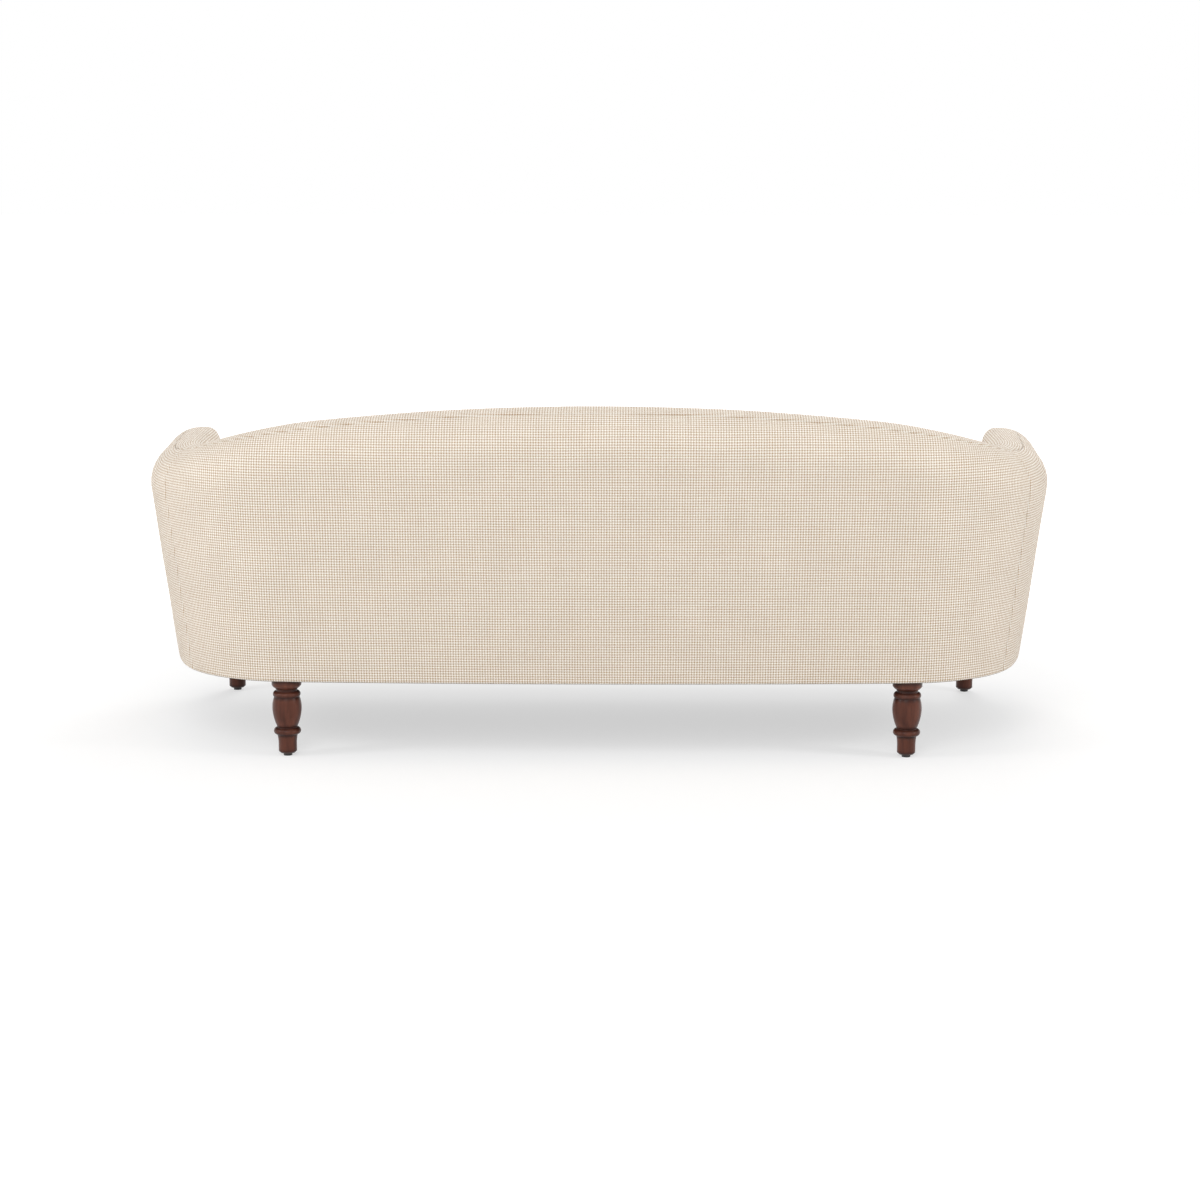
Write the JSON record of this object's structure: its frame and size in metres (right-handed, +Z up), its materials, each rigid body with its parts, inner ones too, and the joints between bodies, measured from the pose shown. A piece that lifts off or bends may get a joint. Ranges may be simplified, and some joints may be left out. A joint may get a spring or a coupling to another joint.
{
  "type": "tub sofa",
  "caption": "Upholstered tub sofa with an arched back that curves into the arms, loose seat cushions and turned wooden legs.",
  "frame": {"origin": "on the floor under the centre of the sofa's bounding box", "axes": "+Z up, +X to the right seen from the front, the front faces -Y"},
  "size_m": [2.2326, 0.9108, 0.808],
  "materials": {
    "check_cloth": "matte",
    "deck_cloth": "matte",
    "black_cambric": "matte",
    "foam": "matte",
    "webbing": "matte",
    "backing_board": "matte",
    "frame_wood": "matte",
    "leg_wood": "satin",
    "glide_plastic": "satin",
    "zinc_steel": "satin"
  },
  "bodies": {
    "sofa": {"back_padding": "foam", "back_top_rail": "frame_wood", "back_webbing": "webbing", "deck_cover": "deck_cloth", "deck_pad": "foam", "dust_cover": "black_cambric", "front_border_cover": "check_cloth", "front_edge_roll": "foam", "front_seat_rail": "frame_wood", "inside_back_cover": "check_cloth", "left_arm_front_panel": "check_cloth", "left_arm_padding": "foam", "left_arm_post": "frame_wood", "left_arm_rear_padding": "foam", "left_arm_top_rail": "frame_wood", "left_back_post": "frame_wood", "left_corner_padding": "foam", "left_corner_post": "frame_wood", "left_corner_seat_rail": "frame_wood", "left_corner_top_rail": "frame_wood", "left_front_leg": "leg_wood", "left_front_leg_block": "frame_wood", "left_front_post": "frame_wood", "left_inside_arm_cover": "check_cloth", "left_outside_arm_board": "backing_board", "left_outside_arm_cover": "check_cloth", "left_rear_leg": "leg_wood", "left_seat_stretcher": "frame_wood", "left_side_seat_rail": "frame_wood", "leg_bolts": "zinc_steel", "leg_glides": "glide_plastic", "outside_back_board": "backing_board", "outside_back_cover": "check_cloth", "rear_seat_rail": "frame_wood", "rear_spring_rail": "frame_wood", "right_arm_front_panel": "check_cloth", "right_arm_padding": "foam", "right_arm_post": "frame_wood", "right_arm_rear_padding": "foam", "right_arm_top_rail": "frame_wood", "right_back_post": "frame_wood", "right_corner_padding": "foam", "right_corner_post": "frame_wood", "right_corner_seat_rail": "frame_wood", "right_corner_top_rail": "frame_wood", "right_front_leg": "leg_wood", "right_front_leg_block": "frame_wood", "right_front_post": "frame_wood", "right_inside_arm_cover": "check_cloth", "right_outside_arm_board": "backing_board", "right_outside_arm_cover": "check_cloth", "right_rear_leg": "leg_wood", "right_seat_stretcher": "frame_wood", "right_side_seat_rail": "frame_wood", "seat_springs": "zinc_steel", "spring_clips": "zinc_steel"},
    "left_cushion": {"left_seat_cushion_cover": "check_cloth", "left_seat_cushion_core": "foam"},
    "right_cushion": {"right_seat_cushion_cover": "check_cloth", "right_seat_cushion_core": "foam"}
  },
  "joints": [
    {"name": "left_cushion_lift", "type": "slide", "parent": "sofa", "child": "left_cushion", "axis": [0, 0, 1], "range_m": [0, 0.55]},
    {"name": "right_cushion_lift", "type": "slide", "parent": "sofa", "child": "right_cushion", "axis": [0, 0, 1], "range_m": [0, 0.55]}
  ]
}
